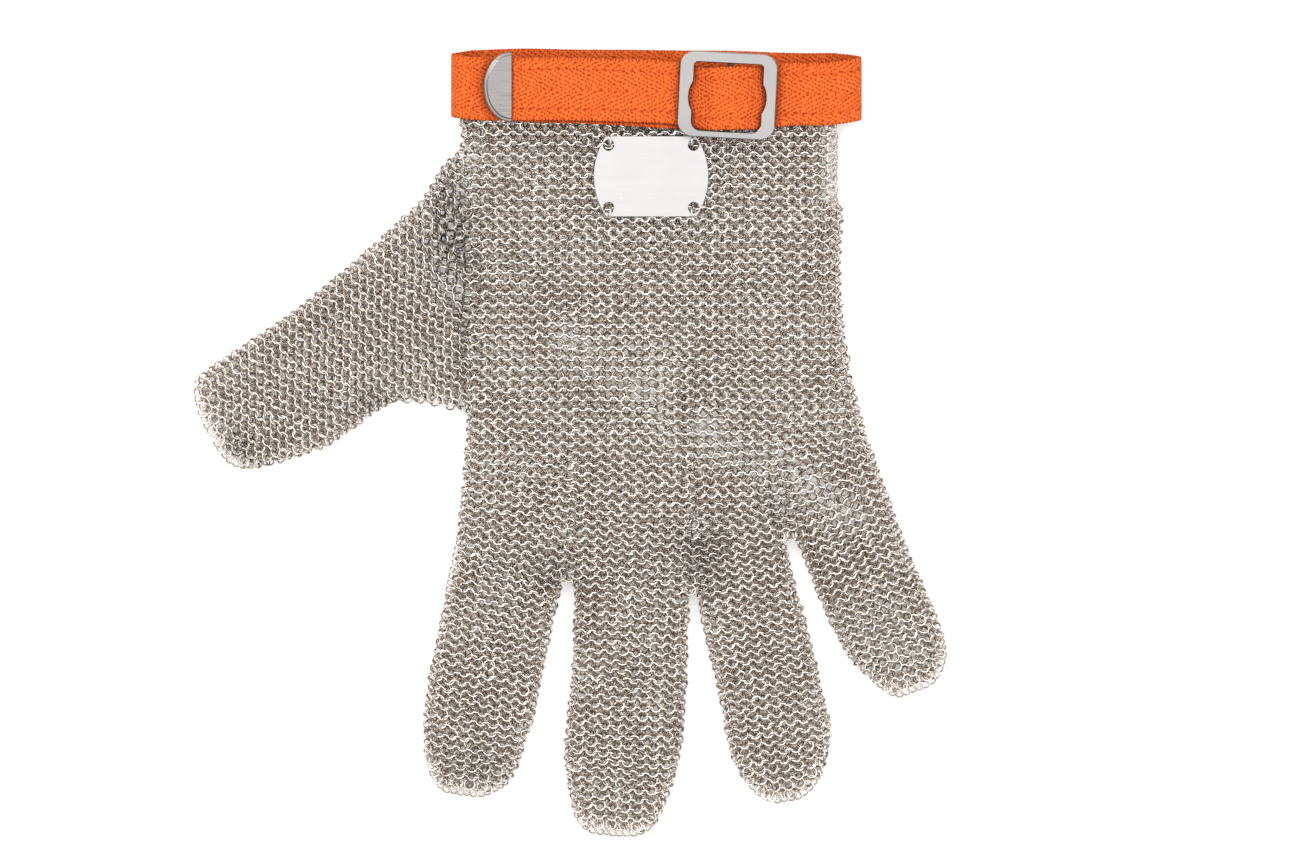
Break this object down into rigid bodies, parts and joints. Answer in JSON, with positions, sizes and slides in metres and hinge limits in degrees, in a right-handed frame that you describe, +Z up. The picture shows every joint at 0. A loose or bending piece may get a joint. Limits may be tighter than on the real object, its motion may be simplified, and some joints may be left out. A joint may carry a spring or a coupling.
{
  "type": "oyster shucking glove",
  "caption": "Steel ring-mail oyster shucking glove lying flat, with an orange woven wrist strap, a slide buckle and a bare plate.",
  "frame": {"origin": "centre of the glove's footprint, on the surface that it lies on", "axes": "+Z up from the surface, +Y from the fingertips to the cuff, +X from the thumb to the little finger"},
  "size_m": [0.2404, 0.2514, 0.0164],
  "materials": {
    "mail_steel": "rings of bright stainless wire, warm grey",
    "strap_webbing": "woven herringbone webbing, orange",
    "buckle_steel": "smooth bright steel with rounded edges",
    "cap_steel": "brushed along the strap, with a polished rim",
    "plate_steel": "finely brushed and bare"
  },
  "bodies": {
    "root": {"mail_palm": "mail_steel", "mail_thumb": "mail_steel", "mail_index_finger": "mail_steel", "mail_middle_finger": "mail_steel", "mail_ring_finger": "mail_steel", "mail_little_finger": "mail_steel", "wrist_strap": "strap_webbing", "slide_buckle": "buckle_steel", "strap_end_cap": "cap_steel", "name_plate": "plate_steel"}
  },
  "joints": []
}
